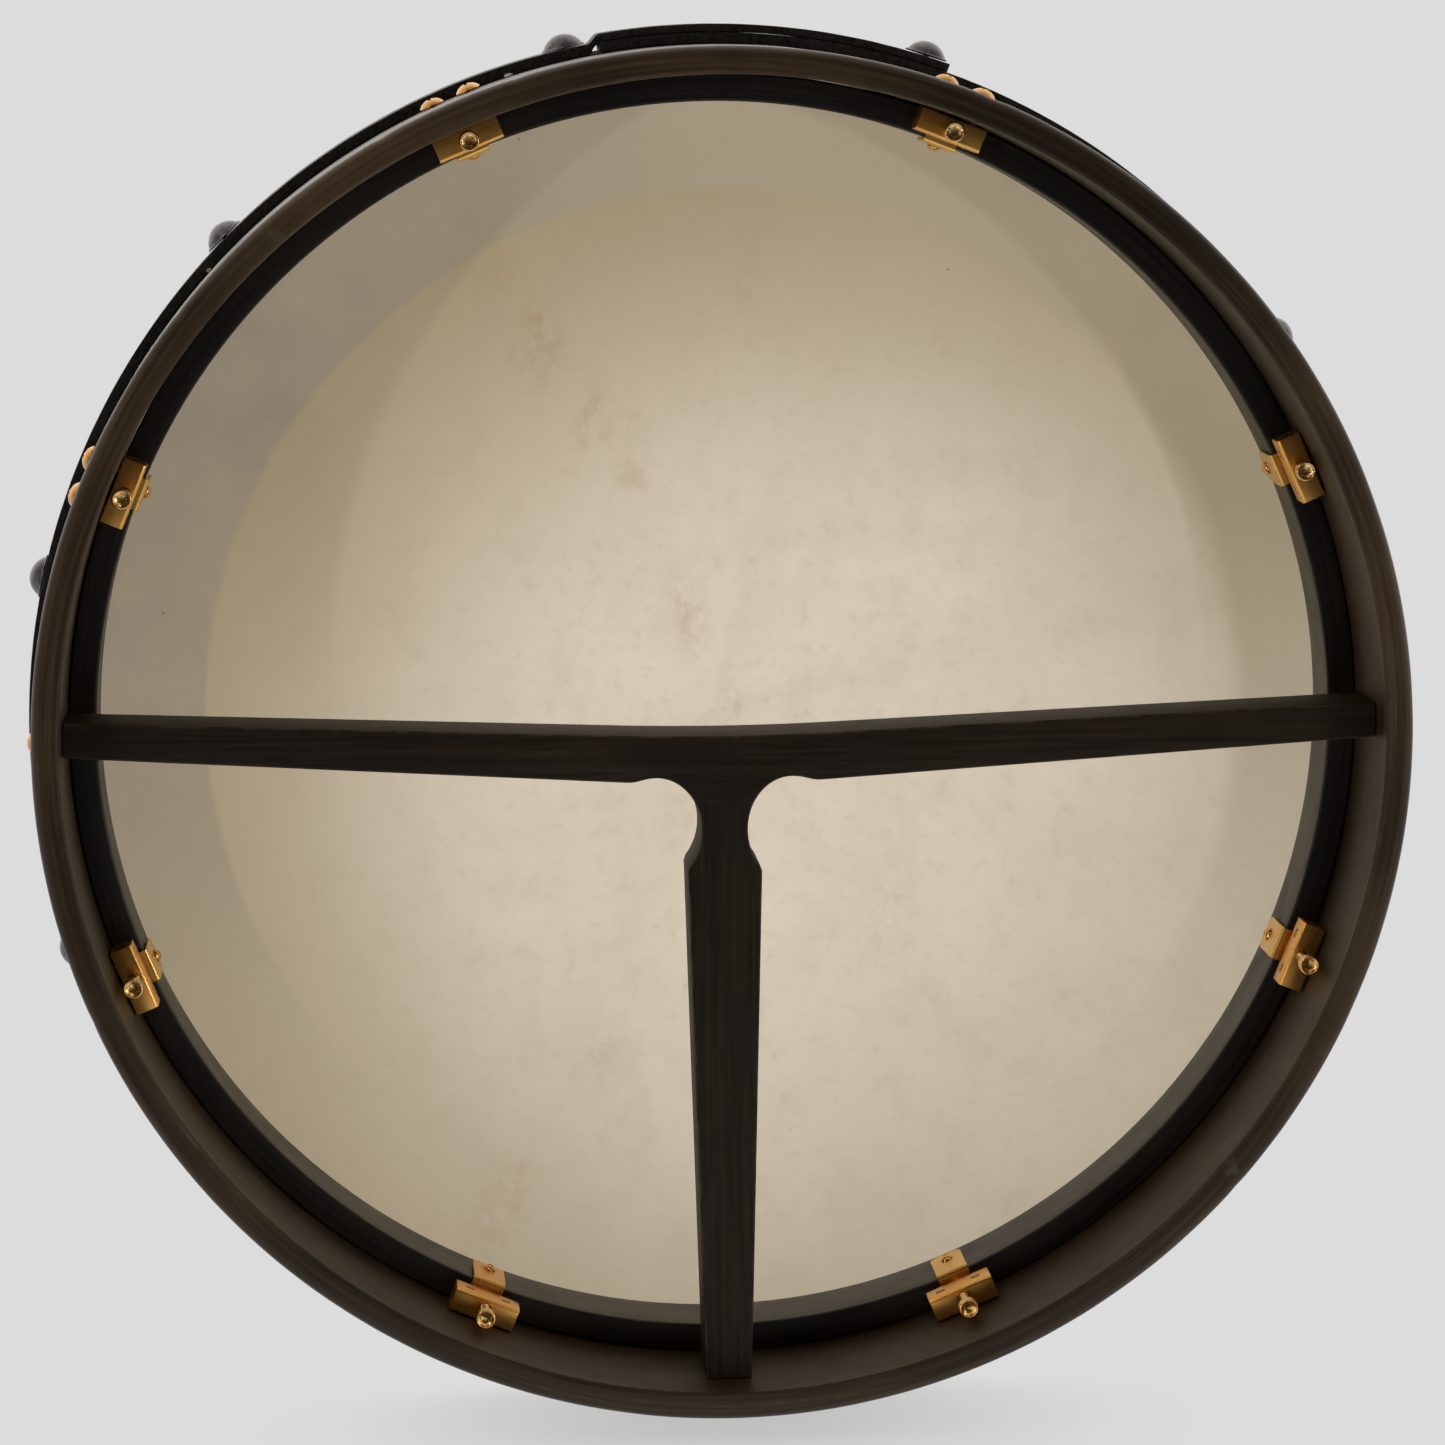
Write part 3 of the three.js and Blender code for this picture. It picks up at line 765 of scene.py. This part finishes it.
def build_skin(material):
    low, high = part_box("skin")
    shell_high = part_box("shell")[1]
    fold, hem = 3 * MM, 0.3 * MM
    edge_radius, edge_y = shell_high.x - fold, shell_high.y - fold
    outer_round = high.x - edge_radius
    inner_round = outer_round - SKIN_THICKNESS
    face = high.y
    flats = [r * MM for r in (3, 15, 35, 60, 90, 120, 150, 175, 195, 205, 212)]
    profile = (
        [(0.0, face)] + [(r, face) for r in flats] + [(SKIN_FLAT_RADIUS, face)]
        + arc((edge_radius, edge_y), outer_round, 90, 0, 10)
        + [(high.x, low.y + hem), (high.x - 0.2 * MM, low.y),
           (high.x - SKIN_THICKNESS + 0.1 * MM, low.y), (high.x - SKIN_THICKNESS, low.y + hem)]
        + arc((edge_radius, edge_y), inner_round, 0, 90, 10)
        + [(r, face - SKIN_THICKNESS) for r in [SKIN_FLAT_RADIUS, *reversed(flats), 0.0]]
    )
    rows = []
    for i in range(ROUND_STEPS):
        angle = tau * i / ROUND_STEPS
        row = []
        for radius, axial in profile:
            if radius < SKIN_FLAT_RADIUS:
                axial -= abs(circle_noise(angle, radius * 22, 1.0)) * 0.16 * MM
            row.append(polar(radius, axial, angle))
        rows.append(row)
    skin = grid_object("goatskin_head", rows, wrap_rows=True)
    return dress(skin, material, ("skin",), sharp=50)


def build_skin_scrap(name, material, place, width, length):
    """A scrap of untrimmed hide that sticks out behind the leather band, at a place in degrees."""
    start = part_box("skin")[0].y + 0.6 * MM
    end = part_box("leather_band")[0].y - length
    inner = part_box("shell")[1].x + 0.25 * MM
    thickness = 0.6 * MM
    rows = []
    for i in range(9):
        t = i / 8
        axial = start + (end - start) * t
        half = width / 2 * (1 - 0.45 * smooth_step((t - 0.55) / 0.45))
        lean = 0.5 * MM * t * t
        curl = 0.35 * MM * smooth_step((t - 0.6) / 0.4)
        angle = radians(place)
        across = [-1, -0.5, 0, 0.5, 1]
        under = [polar(inner + curl, axial, angle + (k * half + lean) / inner) for k in across]
        over = [polar(inner + curl + thickness * (0.8 if abs(k) == 1 else 1), axial,
                      angle + (k * half + lean) / inner) for k in reversed(across)]
        rows.append(under + over)
    scrap = grid_object(name, rows, wrap_columns=True, cap_ends=True)
    return dress(scrap, material, sharp=60)


def build_band(material):
    """The strip as a rounded section swept round the rim, then over its own start."""
    low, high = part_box("leather_band")
    inner = min(hypot(p.x, p.z) for p in node_points("leather_band"))
    outer_layer = inner + BAND_THICKNESS + 0.06 * MM
    start = radians(BAND_START)
    lap = (BAND_RAMP_FOOT, BAND_RAMP_TOP, BAND_STOP)
    ramp_foot, ramp_top, stop = (radians(place - 360) for place in lap)
    width = high.y - low.y
    corner = 0.4 * MM
    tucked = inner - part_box("shell")[1].x - 0.1 * MM
    section = (
        [(0.0, -width + 1.2 * MM)]
        + arc((corner - tucked, -width + corner), corner, -180, -90, 3)
        + arc((BAND_THICKNESS - corner, -width + corner), corner, -90, 0, 4)
        + [(BAND_THICKNESS, -width * t) for t in (0.8, 0.6, 0.4, 0.2)]
        + arc((BAND_THICKNESS - corner, -corner), corner, 0, 90, 4)
        + arc((corner, -corner), corner, 90, 180, 3)
        + [(0.0, -width * t) for t in (0.3, 0.7)]
    )
    steps = 760
    angles = [start + (ramp_foot - start) * i / steps for i in range(steps + 1)]
    angles += [ramp_foot + (ramp_top - ramp_foot) * i / 10 for i in range(1, 11)]
    angles += [ramp_top + (stop - ramp_top) * i / 90 for i in range(1, 91)]
    rows = []
    for angle in angles:
        climb = smooth_step((angle - ramp_foot) / (ramp_top - ramp_foot)) if angle < ramp_foot else 0.0
        base = inner + (outer_layer - inner) * climb
        lift = tucked * min(1.0, climb * 3)
        waver = abs(circle_noise(angle, 14, 11.0)) * 0.35 * MM
        row = []
        for depth, axial in section:
            spot = Vector((cos(angle) * 30, axial * 160, sin(angle) * 30 + (5 if climb else 0)))
            bulge = noise.noise(spot) * 0.10 * MM if depth > BAND_THICKNESS * 0.5 else 0.0
            if axial > -corner * 1.2:
                axial -= waver
            elif axial < -width + corner * 1.2:
                axial += waver
            radius = base + depth - abs(bulge) + (lift if depth < 0 else 0)
            row.append(polar(radius, high.y + axial, angle))
        rows.append(row)
    band = grid_object("leather_strip", rows, wrap_columns=True, cap_ends=True)
    return dress(band, material, ("leather_band",), sharp=50)


# ======== metal ========

HEAD_RIM = 0.3 * MM                    # the straight side under a screw's dome


def cross_radius(arm, half_width):
    """The outline of a cross recess as a distance that depends on the angle."""
    def at(angle):
        off = abs((angle + pi / 4) % (pi / 2) - pi / 4)
        if tan(off) * arm < half_width:
            return arm / cos(off)
        return half_width / sin(off)
    return at


def hex_radius(flats):
    def at(angle):
        off = (angle + pi / 6) % (pi / 3) - pi / 6
        return flats / 2 / cos(off)
    return at


def outward_axis(angle, radius, axial, side=0.0):
    """A frame whose third axis points away from the drum's axis."""
    return station_matrix(angle, (radius, axial, side)) @ Matrix.Rotation(pi / 2, 4, "Y")


def dome_height(radius, dome_radius, dome_rise):
    sphere = (dome_radius ** 2 + dome_rise ** 2) / (2 * dome_rise)
    return dome_rise - sphere + sqrt(max(0.0, sphere ** 2 - radius ** 2))


def dome_screw(name, matrix, head_radius, head_rise, shank_radius, length, tip, twist):
    """A screw with a low dome head and a cross recess. Its head sits on the frame's origin plane."""
    cross = cross_radius(head_radius * 0.52, head_radius * 0.13)
    floor = head_rise - head_rise * 0.45
    columns = [
        (0.0, floor),
        (lambda a: cross(a) * 0.55, floor),
        (cross, lambda a: dome_height(cross(a), head_radius, head_rise) + HEAD_RIM),
    ]
    for share in (0.6, 0.72, 0.84, 0.93, 0.985, 1.0):
        r = head_radius * share
        columns.append((r, dome_height(r, head_radius, head_rise) + HEAD_RIM))
    columns += [(head_radius, 0.1 * MM), (head_radius - 0.1 * MM, 0.0), (shank_radius, 0.0),
                (shank_radius, -length + tip), (shank_radius * 0.55, -length + tip * 0.25), (0.0, -length)]
    return turned(name, columns, 72, matrix @ Matrix.Rotation(twist, 4, "Z"))


def build_nails(material):
    for node in sorted(n for n in frame["nodes"] if n.startswith("band_nail_")):
        angle = node_angle(node)
        low, high = station_box(node, angle)
        head = (high.y - low.y) / 2
        axial = (high.y + low.y) / 2
        rim, rise = 0.6 * MM, 4.2 * MM
        under = high.x - rise - rim - NAIL_SEAT
        dome = head - 0.7 * MM
        columns = [(dome * share, rim + dome_height(dome * share, dome, rise))
                   for share in (0, 0.12, 0.25, 0.4, 0.55, 0.68, 0.8, 0.9, 0.97, 1.0)]
        shank, point = 1.1 * MM, 2 * MM
        tip = low.x - under
        columns += [(dome + 0.12 * MM, rim - 0.05 * MM), (head - 0.25 * MM, rim), (head, rim * 0.5),
                    (head - 0.2 * MM, 0.0), (shank, 0.0), (shank, low.x + point - under), (0.0, tip)]
        tilt_degrees = random.Random(int(node[-2:]) + 40).uniform(-1.6, 1.6)
        tilt = Matrix.Rotation(radians(tilt_degrees), 4, "X")
        nail = turned("nail_" + node[-2:], columns, 64, outward_axis(angle, under, axial) @ tilt)
        dress(nail, material, (node,))


def build_brackets(material, stations):
    low, high = station_box("bracket_1", stations[0])
    joint = bolt_joint(1)
    bolt_radius = hypot(joint["pos_m"][0], joint["pos_m"][2])
    screws = [station_box("bracket_screw_1" + side, stations[0]) for side in "ab"]
    corners = [Vector(c) for c in product((low.x, high.x), (low.y, high.y), (low.z, high.z))]
    faces = [(0, 1, 3, 2), (4, 6, 7, 5), (0, 4, 5, 1), (2, 3, 7, 6), (0, 2, 6, 4), (1, 5, 7, 3)]
    block = mesh_object("bracket_template", corners, faces)

    def inner_back(e):
        return all(abs(v.co.x - low.x) < 1e-6 and abs(v.co.y - low.y) < 1e-6 for v in e.verts)

    def others(e):
        return len(e.link_faces) == 2 and e.calc_face_angle(0) > radians(60)

    bevelled(block, 1.3 * MM, 5, inner_back)
    bevelled(block, 0.35 * MM, 3, others)
    middle = (low + high) / 2
    bolt_hole, screw_hole, past = 2.25 * MM, 1.7 * MM, 4 * MM
    drills = [drill((bolt_radius, middle.y, 0), "X", bolt_hole, high.y - low.y + past)]
    for screw_low, screw_high in screws:
        screw = (screw_low + screw_high) / 2
        drills.append(drill((middle.x, screw.y, screw.z), "Y", screw_hole, high.x - low.x + past))
    cut(block, drills)
    for number, angle in enumerate(stations, 1):
        bracket = placed_copy(block, f"brass_bracket_{number}", station_matrix(angle))
        dress(bracket, material, (f"bracket_{number}",), sharp=28)
    bpy.data.objects.remove(block)


def drill(place, turn_about, radius, length):
    """A cylinder for a hole, made upright and then turned a quarter about an axis."""
    half = length / 2
    columns = [(0.0, -half), (radius, -half), (radius, half), (0.0, half)]
    matrix = Matrix.Translation(place) @ Matrix.Rotation(pi / 2, 4, turn_about)
    return turned("drill", columns, 40, matrix)


def bolt_joint(number):
    return [j for j in frame["joints"] if j["name"] == f"bolt_turn_{number}"][0]


def build_bolt(number, angle, material):
    """A socket-head bolt with a knurled head and a rolled thread."""
    node = f"tuning_bolt_{number}"
    low, high = station_box(node, angle)
    centre = (low.x + high.x) / 2
    head = (high.x - low.x) / 2
    head_height, socket_depth, major, minor = 4 * MM, 2.3 * MM, 1.98 * MM, 1.74 * MM
    top = low.y
    hexagon = hex_radius(3 * MM)
    teeth = 30
    knurl = lambda a: head - 0.13 * MM * (1 - abs(cos(a * teeth)))
    lip = 0.42 * MM
    columns = [
        (0.0, -socket_depth - 0.5 * MM), (lambda a: hexagon(a) * 0.97, -socket_depth),
        (hexagon, -1.05 * MM), (lambda a: hexagon(a) * 1.15, -0.85 * MM),
        (2.30 * MM, -0.45 * MM), (2.42 * MM, -0.42 * MM),
    ]
    columns += arc((head - 0.10 * MM - lip, -lip), lip, 180, 0, 10)
    columns += [
        (knurl, -lip - 0.12 * MM), (knurl, 0.45 * MM - head_height),
        (head - 0.12 * MM, 0.25 * MM - head_height), (head - 0.3 * MM, -head_height),
        (major + 0.25 * MM, -head_height), (major, -head_height - 0.25 * MM),
    ]
    length = high.y - top
    margin = 0.9 * MM
    depth = head_height + margin
    columns.append((major, 0.3 * MM - depth))
    while depth < length - margin:
        columns.append((thread_radius(minor, major, depth), -depth))
        depth += THREAD_PITCH / 4
    columns += [(minor, 0.45 * MM - length), (minor - 0.3 * MM, -length), (0.0, -length)]
    turn = random.Random(number).uniform(0, tau)
    axis = station_matrix(angle, (centre, top, 0)) @ Matrix.Rotation(pi / 2, 4, "X")
    axis = axis @ Matrix.Rotation(turn, 4, "Z")
    bolt = turned(f"socket_bolt_{number}", columns, 60, axis)
    return dress(bolt, material, (node,), sharp=30, body=node)


def thread_radius(minor, major, depth):
    """A rounded thread as a radius that depends on the angle, one pitch deeper each turn."""
    def at(angle):
        t = (depth / THREAD_PITCH - angle / tau) % 1.0
        return minor + (major - minor) * smooth_step(1 - abs(2 * t - 1))
    return at


def build_tab(number, angle, material):
    """A bent strip: its foot lies on the ring's back under the bolt, its leg up the ring's inside.
    Returns how far the leg's face is from the drum's axis."""
    node = f"pressure_tab_{number}"
    low, high = station_box(node, angle)
    thickness, bend, round_end, edge = 1.2 * MM, 1.7 * MM, 2.4 * MM, 0.18 * MM
    half = (high.z - low.z) / 2
    middle = bend - thickness / 2
    centre = (low.x + bend, low.y + bend)
    foot, leg = low.y + thickness / 2, low.x + thickness / 2
    path = [(high.x, foot), (high.x - 1 * MM, foot)]
    normals = [(0, 1), (0, 1)]
    for i in range(11):
        a = radians(270 - 90 * i / 10)
        path.append((centre[0] + middle * cos(a), centre[1] + middle * sin(a)))
        normals.append((-cos(a), -sin(a)))
    stretch = high.y - centre[1]
    for share in (0.25, 0.5, 0.75):
        path.append((leg, centre[1] + (stretch - round_end) * share))
        normals.append((1, 0))
    for i in range(9):
        path.append((leg, high.y - round_end + round_end * sin(radians(90 * i / 8))))
        normals.append((1, 0))
    section = [(-0.5, -1), (-0.5, 1), (-0.3, 1), (0.3, 1), (0.5, 1), (0.5, -1), (0.3, -1), (-0.3, -1)]
    matrix = station_matrix(angle)
    rows = []
    for (x, y), (nx, ny) in zip(path, normals):
        past = max(0.0, y - (high.y - round_end)) if nx else 0.0
        reach = half - (round_end - sqrt(max(0.0, round_end ** 2 - past ** 2)))
        row = []
        for t, side in section:
            inset = edge if abs(t) == 0.5 else 0.0
            depth = thickness * t
            row.append(matrix @ Vector((x + nx * depth, y + ny * depth, side * (reach - inset))))
        rows.append(row)
    tab = grid_object(f"bent_tab_{number}", rows, wrap_columns=True, cap_ends=True)
    dress(tab, material, (node,), sharp=40, body="tuning_ring")
    return low.x


def build_tab_screw(number, angle, leg_face, material):
    """The small pan-head screw that holds a tab's leg to the ring, its head towards the drum's axis."""
    radius, axial = leg_face - 0.02 * MM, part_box("tuning_ring")[0].y + 15 * MM
    inward = station_matrix(angle, (radius, axial, 0)) @ Matrix.Rotation(-pi / 2, 4, "Y")
    twist = random.Random(number + 70).uniform(0, pi / 2)
    screw = dome_screw(f"tab_screw_{number}", inward, head_radius=2.35 * MM, head_rise=1.45 * MM,
                       shank_radius=1.1 * MM, length=8 * MM, tip=2 * MM, twist=twist)
    dress(screw, material, sharp=35, body="tuning_ring")


def build_outer_screws(material, stations):
    """The dome-head screws that come in from outside: two at each bracket and one at each bar end."""
    for number, angle in enumerate(stations, 1):
        for side in "ab":
            node = f"bracket_screw_{number}{side}"
            seed = number * 2 + ord(side)
            build_outer_screw(node, angle, material, seed, shank=1.35 * MM, tip=0.5 * MM)
    for seed, end in enumerate(("right", "left", "foot"), 300):
        node = f"t_bar_screw_{end}"
        build_outer_screw(node, node_angle(node), material, seed, shank=2.0 * MM, tip=4 * MM)


def build_outer_screw(node, angle, material, seed, shank, tip):
    low, high = station_box(node, angle)
    head = (high.y - low.y) / 2
    rise = 2.3 * MM
    under = high.x - rise - HEAD_RIM
    matrix = outward_axis(angle, under, (low.y + high.y) / 2, (low.z + high.z) / 2)
    twist = random.Random(seed).uniform(0, pi / 2)
    name = node.replace("screw", "dome_screw")
    screw = dome_screw(name, matrix, head, rise, shank, under - low.x, tip, twist)
    dress(screw, material, (node,), sharp=35)


# ======== stage ========

def build_floor():
    low, high = CAD_BOX
    across = [STAGE_HALF * (i - 4) / 4 for i in range(9)]
    rows = [[Vector((x, y, low.z - STAGE_DROP)) for x in across] for y in across]
    floor = grid_object("floor", rows)
    floor.data.materials.append(pale_floor((low.y + high.y) / 2))
    for polygon in floor.data.polygons:
        if polygon.normal.z < 0:
            floor.data.flip_normals()
            break


def area_light(name, place, size, power, colour=(1, 1, 1)):
    data = bpy.data.lights.new(name, "AREA")
    data.shape = "DISK"
    data.size = size
    data.energy = power
    data.color = colour
    light = scene_object(name, data)
    light.location = place
    light.rotation_mode = "QUATERNION"
    light.rotation_quaternion = (Vector(place) - CAMERA_TARGET).to_track_quat("Z", "Y")
    light.visible_camera = False


def build_lights():
    """Small lamps: the world lights the drum, and these give the metal and the lacquer their sparkle."""
    area_light("upper_left", (-1.5, -0.75, 1.5), 0.6, 2.6, (1.0, 0.95, 0.88))
    area_light("right", (1.9, -0.9, 0.2), 0.6, 3, (1.0, 0.96, 0.90))
    for bearing, power in ((25, 1.3), (80, 0.9), (140, 1.0), (205, 2.0), (330, 2.0)):
        place = polar(1.5, -1.25, radians(bearing))
        place.z = max(place.z, -0.1)
        area_light(f"sparkle_{bearing}", place, 0.26, power, (1.0, 0.95, 0.85))


def build_world():
    """Pale for the camera. For everything else: bright behind the drum, dim and warm in front."""
    world = bpy.data.worlds.new("studio")
    bpy.context.scene.world = world
    world.use_nodes = True
    tree = world.node_tree
    tree.nodes.clear()
    direction = put(tree, "TexCoord").outputs["Generated"]
    parts = put(tree, "SeparateXYZ", {0: direction}).outputs
    around = ramp(tree, parts["Y"], -0.82, -0.10, 0.0, 0.60)
    behind = ramp(tree, parts["Y"], -0.10, 0.40, 0.0, 1.25)
    level = plus(tree, plus(tree, around, behind), 0.045)
    tint = blend(tree, ramp(tree, parts["Y"], -0.8, -0.1), (1.0, 0.74, 0.50), (1.0, 0.975, 0.94))
    studio = put(tree, "Background", {"Color": tint, "Strength": level})
    plain = put(tree, "Background", {"Color": (1, 1, 1, 1), "Strength": BACKDROP})
    camera_ray = put(tree, "LightPath").outputs["Is Camera Ray"]
    both = mix_shaders(tree, camera_ray, studio, plain)
    put(tree, "OutputWorld", {"Surface": both.outputs[0]})


def build_camera():
    data = bpy.data.cameras.new("camera")
    data.lens = CAMERA_LENS
    data.sensor_width = CAMERA_SENSOR
    camera = scene_object("camera", data)
    back = Vector((-sin(CAMERA_LEFT) * cos(CAMERA_UP),
                   -cos(CAMERA_LEFT) * cos(CAMERA_UP), sin(CAMERA_UP)))
    camera.location = CAMERA_TARGET + back * CAMERA_DISTANCE
    aim = (-back).to_track_quat("-Z", "Y").to_matrix().to_4x4()
    camera.rotation_mode = "QUATERNION"
    camera.rotation_quaternion = (aim @ Matrix.Rotation(CAMERA_ROLL, 4, "Z")).to_quaternion()
    bpy.context.scene.camera = camera


# ======== everything ========

def build_drum():
    # the shell's back rim gets painted light, a lighter brown at the upper left and a little at the right
    shell_wood = lacquered_wood("shell_lacquer", (0.015, 0.0100, 0.0052), (0.051, 0.0310, 0.0140),
                                hoop_grain, hoop_edges, 0.44, 0.21, scuffing=0.7, painted_light_mask=painted_rim_light)
    ring_wood = lacquered_wood("ring_lacquer", (0.007, 0.0054, 0.0038), (0.022, 0.0160, 0.0105),
                               hoop_grain, hoop_edges, 0.38, 0.36)
    bar_wood = lacquered_wood("bar_lacquer", (0.009, 0.0062, 0.0036), (0.026, 0.0170, 0.0088),
                              bar_grain, bar_edges, 0.56, 0.16, scuffing=0.08, unevenness=0.35)
    hide = goatskin()
    leather = black_leather()
    bracket_brass = polished_brass("bracket_brass", 0.29, tint=(0.99, 0.545, 0.150))
    # a paler, brighter copy of the brass for the bolts: painted light
    bolt_brass = polished_brass("bolt_brass", 0.20, tint=(1.0, 0.68, 0.30))
    tab_brass = polished_brass("tab_brass", 0.24, tint=(0.96, 0.59, 0.18))
    screw_brass = polished_brass("screw_brass", 0.20)
    # a darker copy of the brass for the outer screws: painted shade that dims them
    shaded_outer_brass = polished_brass("outer_screw_brass_painted_shade", 0.33, tint=(0.43, 0.225, 0.080))
    nail_metal = gunmetal()

    build_shell(shell_wood)
    build_ring(ring_wood)
    build_t_bar(bar_wood)
    build_skin(hide)
    build_skin_scrap("hide_scrap_1", hide, 107.2, 3.0 * MM, 2.6 * MM)
    build_skin_scrap("hide_scrap_2", hide, 137.4, 1.8 * MM, 1.1 * MM)
    build_band(leather)
    build_nails(nail_metal)

    stations = [atan2(bolt_joint(n)["pos_m"][2], bolt_joint(n)["pos_m"][0]) for n in range(1, 9)]
    build_brackets(bracket_brass, stations)
    for number, angle in enumerate(stations, 1):
        build_bolt(number, angle, bolt_brass)
        leg_face = build_tab(number, angle, tab_brass)
        build_tab_screw(number, angle, leg_face, screw_brass)
    build_outer_screws(shaded_outer_brass, stations)


build_drum()
build_floor()
build_lights()
build_world()
build_camera()
bpy.context.scene.view_settings.view_transform = "Standard"
